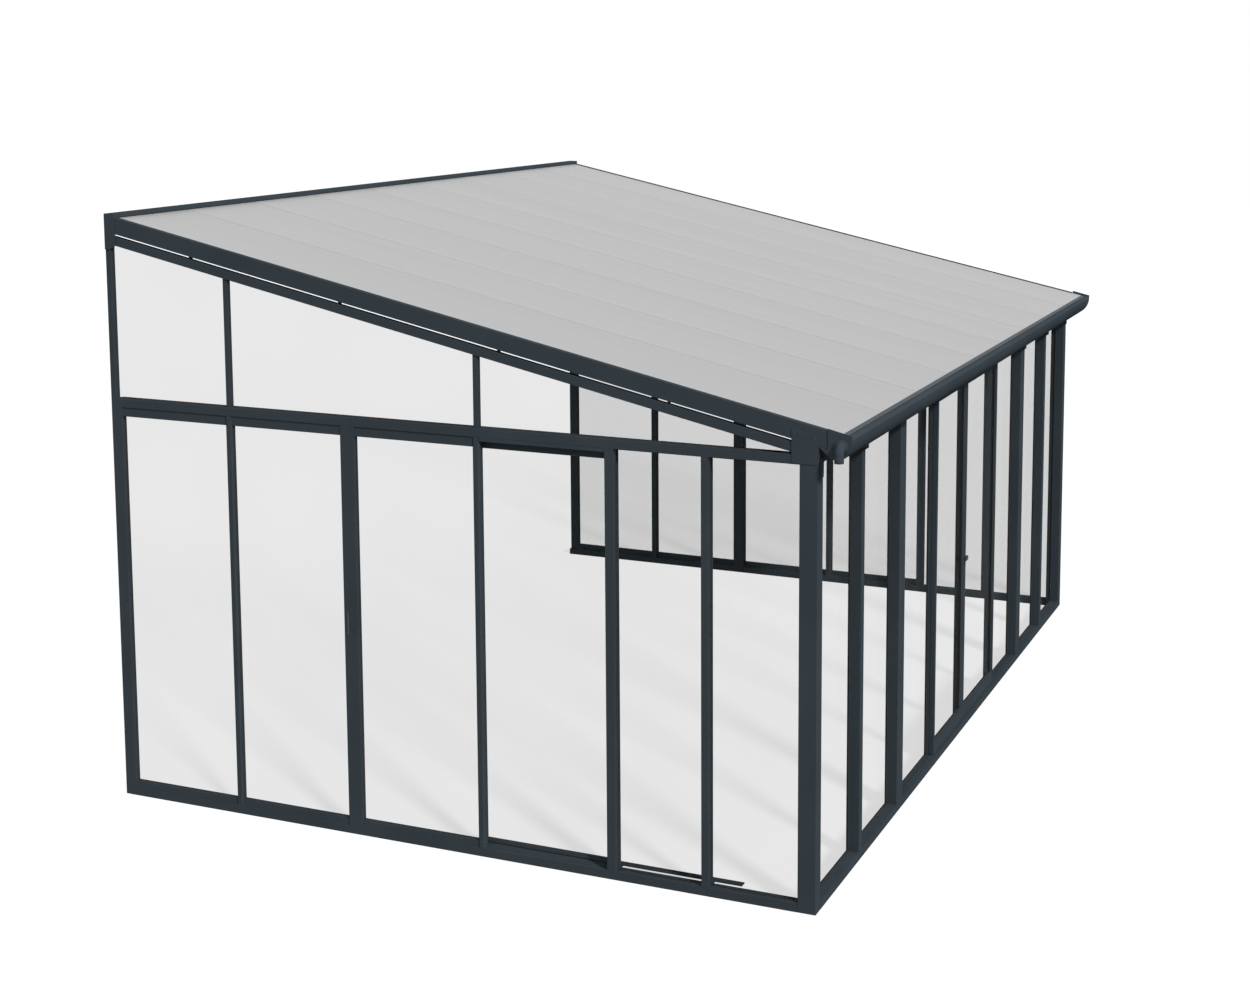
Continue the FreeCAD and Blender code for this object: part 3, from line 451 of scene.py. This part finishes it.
def islands(name):
    """The separate solids of a CAD node, each as a list of its different corners."""
    mesh = nodes[name].data
    keys = [tuple(round(value, 5) for value in vertex.co) for vertex in mesh.vertices]
    root = {key: key for key in keys}

    def top(key):
        while root[key] != key:
            key = root[key]
        return key

    for polygon in mesh.polygons:
        first = top(keys[polygon.vertices[0]])
        for index in polygon.vertices[1:]:
            root[top(keys[index])] = first
    groups = {}
    for key in sorted(root):
        groups.setdefault(top(key), []).append(Vector(key))
    return list(groups.values())


def extent(corners):
    """Lowest and highest corner of a box round points."""
    low = Vector([min(corner[axis] for corner in corners) for axis in range(3)])
    high = Vector([max(corner[axis] for corner in corners) for axis in range(3)])
    return low, high


def inset_polygon(points, insets):
    """A flat convex polygon with each edge moved inwards by its own amount."""
    count = len(points)
    lines = []
    for k in range(count):
        a, b = points[k], points[(k + 1) % count]
        along = (b - a).normalized()
        inward = Vector((-along.y, along.x))
        lines.append((a + inward * insets[k], along))
    corners = []
    for k in range(count):
        (a, u), (b, v) = lines[k - 1], lines[k]
        cross = u.x * v.y - u.y * v.x
        reach = ((b - a).x * v.y - (b - a).y * v.x) / cross
        corners.append(a + u * reach)
    return corners


def add_seal(shape, corners, insets, closed=True):
    """Rubber beads on both faces of a pane, along the members that hold it.

    The insets are for the bottom, far, top and near edges, near being the low end of X or Y. An open bead
    leaves the near edge out.
    """
    low, high = extent(corners)
    flat = min(range(3), key=lambda axis: high[axis] - low[axis])
    across = 1 - flat
    points = [Vector((c[across], c.z)) for c in corners if abs(c[flat] - low[flat]) < SAME_FACE]
    middle = sum(points, Vector((0.0, 0.0))) / len(points)
    points.sort(key=lambda point: math.atan2(point.y - middle.y, point.x - middle.x))
    first = points.index(min(points, key=lambda point: (round(point.x, 4), point.y)))
    points = points[first:] + points[:first]
    loops = [inset_polygon(points, [inset + step for inset in insets]) for step, rise in SEAL_SECTION]
    for level, sign in ((low[flat], -1.0), (high[flat], 1.0)):
        rings = []
        for k in range(len(points)):
            ring = []
            for loop, (step, rise) in zip(loops, SEAL_SECTION):
                corner = [0.0, 0.0, loop[k].y]
                corner[across] = loop[k].x
                corner[flat] = level + sign * rise
                ring.append(corner)
            rings.append(ring)
        shape.loft(rings, round_ring=False, round_path=closed, ends=(not closed, not closed))


def add_seals():
    """Seals of the fixed panes and of each leaf's pane."""
    fixed = Shape()
    for name in ("front_panes", "lower_panes_left", "lower_panes_right"):
        for corners in islands(name):
            add_seal(fixed, corners, [SEAT] * 4)
    wedge_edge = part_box("upper_panes")[0].y
    for corners in islands("upper_panes"):
        nearest = min(corner.y for corner in corners)
        if nearest > wedge_edge + SAME_EDGE:
            add_seal(fixed, corners, [SEAT] * 4)
        else:
            add_seal(fixed, corners, [SEAT, SEAT, SEAT, WEDGE_START], closed=False)
    fixed.make("pane_seals", rubber, "frame", SEAL_SMOOTH)
    for leaf in LEAVES:
        shape = Shape()
        for corners in islands(leaf + "_pane"):
            add_seal(shape, corners, [LEAF_SEAT, SEAT, SEAT, SEAT])
        shape.make(leaf + "_seals", rubber, leaf, SEAL_SMOOTH)


def turned_ring(centre, axis, radius, height, sides, flats=0):
    """A ring round an axis: round, or with flats as on a hexagon."""
    side = axis.orthogonal().normalized()
    other = axis.cross(side)
    ring = []
    for k in range(sides):
        angle = 2 * math.pi * k / sides
        reach = radius
        if flats:
            part = math.pi / flats
            reach = radius * math.cos(part) / math.cos((angle + part) % (2 * part) - part)
        ring.append(centre + axis * height + (side * math.cos(angle) + other * math.sin(angle)) * reach)
    return ring


def add_screw(shape, foot, axis, radius, height):
    """A domed head with a six-sided socket."""
    rings = [turned_ring(foot, axis, radius * wide, height * rise, SCREW_SIDES, flats)
             for wide, rise, flats in SCREW_PROFILE]
    shape.loft(rings)


def add_screws():
    """Screw heads in place of the plain ones, and the heads on the front floor rail's ledge."""
    heads = Shape()
    for corners in islands("frame_screws"):
        low, high = extent(corners)
        size = high - low
        thin = min(range(3), key=lambda axis: size[axis])
        outward = low[thin] > 0
        axis = Vector((0.0, 0.0, 0.0))
        axis[thin] = 1.0 if outward else -1.0
        foot = (low + high) / 2
        foot[thin] = low[thin] if outward else high[thin]
        add_screw(heads, foot, axis, max(size.z, size[1 - thin]) / 2, size[thin])
    piece = heads.make("screw_heads", finishes["steel"], "frame", SCREW_SMOOTH)
    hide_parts("frame_screws")
    ledge = Shape()
    rail_low, rail_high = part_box("base_rail_front")
    wall_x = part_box("base_rail_left")[0].x
    for x, y in LEDGE_SCREWS:
        foot = Vector((wall_x + x, rail_low.y + y, rail_high.z))
        add_screw(ledge, foot, Vector((0.0, 0.0, 1.0)), LEDGE_RADIUS, LEDGE_HEIGHT)
    ledge.make("ledge_screws", finishes["steel"], "frame", SCREW_SMOOTH)


def outlet_ring(centre, ahead, spoke, radius, reach):
    """A round ring across the outlet's line."""
    side = ahead.cross(spoke)
    turns = [2 * math.pi * k / OUTLET_SIDES for k in range(OUTLET_SIDES)]
    return [centre + ahead * reach + (spoke * math.cos(turn) + side * math.sin(turn)) * radius
            for turn in turns]


def add_outlet():
    """Smooth elbow in place of the faceted one: a stepped collar, a quarter bend, a spigot and a bore."""
    low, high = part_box("gutter_outlet")
    out = Vector((-1.0, 0.0, 0.0))
    down = Vector((0.0, 0.0, -1.0))
    axis_z = high.z - OUTLET_COLLAR[0][0]
    start = Vector((high.x, (low.y + high.y) / 2, axis_z))
    pivot = start + down * OUTLET_BEND
    spigot_top = pivot + out * OUTLET_BEND
    rings = []
    for radius, reach in OUTLET_COLLAR:
        rings.append(outlet_ring(start, out, -down, radius, reach))
    first = OUTLET_COLLAR[-1][1] / OUTLET_BEND
    for step in range(1, OUTLET_STEPS + 1):
        turn = first + (math.pi / 2 - first) * step / OUTLET_STEPS
        spoke = -down * math.cos(turn) + out * math.sin(turn)
        ahead = down * math.sin(turn) + out * math.cos(turn)
        rings.append(outlet_ring(pivot + spoke * OUTLET_BEND, ahead, spoke, OUTLET_PIPE, 0.0))
    for reach, radius in OUTLET_RIM:
        rings.append(outlet_ring(spigot_top, down, out, radius, reach))
    rings.append(outlet_ring(spigot_top, down, out, OUTLET_BORE, OUTLET_SOCKET))
    rings.append(outlet_ring(spigot_top, down, out, OUTLET_BORE, 0.0))
    shape = Shape()
    shape.loft(rings)
    piece = shape.make("outlet_elbow", coat, "frame", OUTLET_SMOOTH)
    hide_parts("gutter_outlet")


def pull_rings(low, high, axis, sign):
    """Rings of a cushion-shaped grip that fills a box, crowned towards one side of an axis."""
    across = 1 - axis
    rings = []
    for wide, rise in PULL_PROFILE:
        ring = []
        for k in range(PULL_SIDES):
            angle = 2 * math.pi * k / PULL_SIDES
            u = math.copysign(abs(math.cos(angle)) ** PULL_SQUARE, math.cos(angle))
            v = math.copysign(abs(math.sin(angle)) ** PULL_SQUARE, math.sin(angle))
            corner = [0.0, 0.0, 0.0]
            corner[across] = (low[across] + high[across]) / 2 + u * (high[across] - low[across]) / 2 * wide
            corner[2] = (low.z + high.z) / 2 + v * (high.z - low.z) / 2 * (0.5 + wide / 2)
            reach = rise if sign > 0 else 1.0 - rise
            corner[axis] = low[axis] + (high[axis] - low[axis]) * reach
            ring.append(corner)
        rings.append(ring)
    return rings


def add_pulls():
    """Rounded pulls in place of the blocks on the leaves: a low one at the side, grips on posts in front."""
    for leaf in LEAVES:
        name = leaf + "_pull"
        low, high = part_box(name)
        shape = Shape()
        if leaf == "side_leaf":
            shape.loft(pull_rings(low, high, 0, 1.0))
        else:
            grip_back = (low.y + high.y) / 2 + PULL_OVERLAP
            shape.loft(pull_rings(low, Vector((high.x, grip_back, high.z)), 1, -1.0))
            for share in POST_LEVELS:
                foot = Vector(((low.x + high.x) / 2, high.y, low.z + (high.z - low.z) * share))
                shape.loft([turned_ring(foot, Vector((0.0, -1.0, 0.0)), radius, reach, POST_SIDES)
                            for radius, reach in POST_PROFILE])
        piece = shape.make(leaf + "_grip", finishes["pull"], leaf, PULL_SMOOTH)
        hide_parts(name)


def add_roof_trim():
    """Seals in the joints between the panels, and the profile that closes the panels' front ends."""
    low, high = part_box("roof_panel_1")
    front_top = low.z + PANEL_HEIGHT
    rise = (high.z - front_top) / (high.y - low.y)
    joints = Shape()
    for k in range(2, PANEL_COUNT + 1):
        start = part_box(f"roof_panel_{k}")[0].x - JOINT_WIDTH
        joints.loft([[(start + x, y, front_top + rise * (y - low.y) + z) for x, z in JOINT_SECTION]
                     for y in (low.y, high.y)])
    joints.make("roof_joint_seals", rubber, "frame")
    trim = Shape()
    ends = (low.x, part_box(f"roof_panel_{PANEL_COUNT}")[1].x)
    trim.loft([[(x, low.y + y, front_top + rise * y + z) for y, z in TRIM_SECTION] for x in ends])
    trim.make("roof_end_trim", trim_coat, "frame")


def add_doorway_trim():
    """Ribbed plate beside the side track, and the angle under the header, in the side leaf's bay."""
    studs = sorted((extent(corners) for corners in islands("studs_left")), key=lambda box: box[0].y)
    near, far = studs[1], studs[2]
    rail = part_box("base_rail_left")[1]
    plate = Shape()
    plate.loft([[(rail.x + x, y, rail.z + z) for x, z in THRESHOLD_SECTION] for y in (near[0].y, far[1].y)])
    plate.make("side_threshold", coat, "frame")
    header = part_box("header_left")[0]
    head = Shape()
    head.loft([[(header.x + x, y, header.z + z) for x, z in DOOR_HEAD_SECTION]
               for y in (near[1].y, far[0].y)])
    head.make("side_door_head", coat, "frame")


def round_edges():
    """Small radii along the edges of the metal profiles."""
    for name, node in nodes.items():
        if slot_of[name] != "frame":
            continue
        weld = node.modifiers.new("weld", "WELD")
        weld.merge_threshold = WELD_REACH
        flat = node.modifiers.new("flat", "DECIMATE")
        flat.decimate_type = "DISSOLVE"
        flat.angle_limit = FLAT_ANGLE
        edges = node.modifiers.new("edges", "BEVEL")
        edges.width = EDGE_RADIUS
        edges.segments = EDGE_SEGMENTS
        edges.limit_method = "ANGLE"
        edges.angle_limit = EDGE_ANGLE
        normals = node.modifiers.new("normals", "WEIGHTED_NORMAL")
        normals.weight = NORMAL_WEIGHT


add_camera()
add_light(add_floor())

coat = powder_coat("anthracite_coat", rough=0.6, gloss=0.0)
trim_coat = powder_coat("anthracite_trim", rough=0.45, gloss=0.05)
rubber = moulded("rubber", RUBBER_DARK, RUBBER_LIGHT, rough=0.6)
finishes = {
    "frame": coat,
    "clear_pane": clear_sheet("clear_acrylic"),
    "roof_sheet": roof_sheet("chamber_sheet"),
    "roller": moulded("nylon", NYLON_DARK, NYLON_LIGHT, rough=0.45),
    "pull": moulded("grip", GRIP_DARK, GRIP_LIGHT, rough=0.5),
    "steel": plated_steel("black_zinc_steel"),
}
for name, node in nodes.items():
    node.data.materials.clear()
    node.data.materials.append(finishes[slot_of[name]])

add_seals()
add_screws()
add_outlet()
add_pulls()
add_roof_trim()
add_doorway_trim()
round_edges()
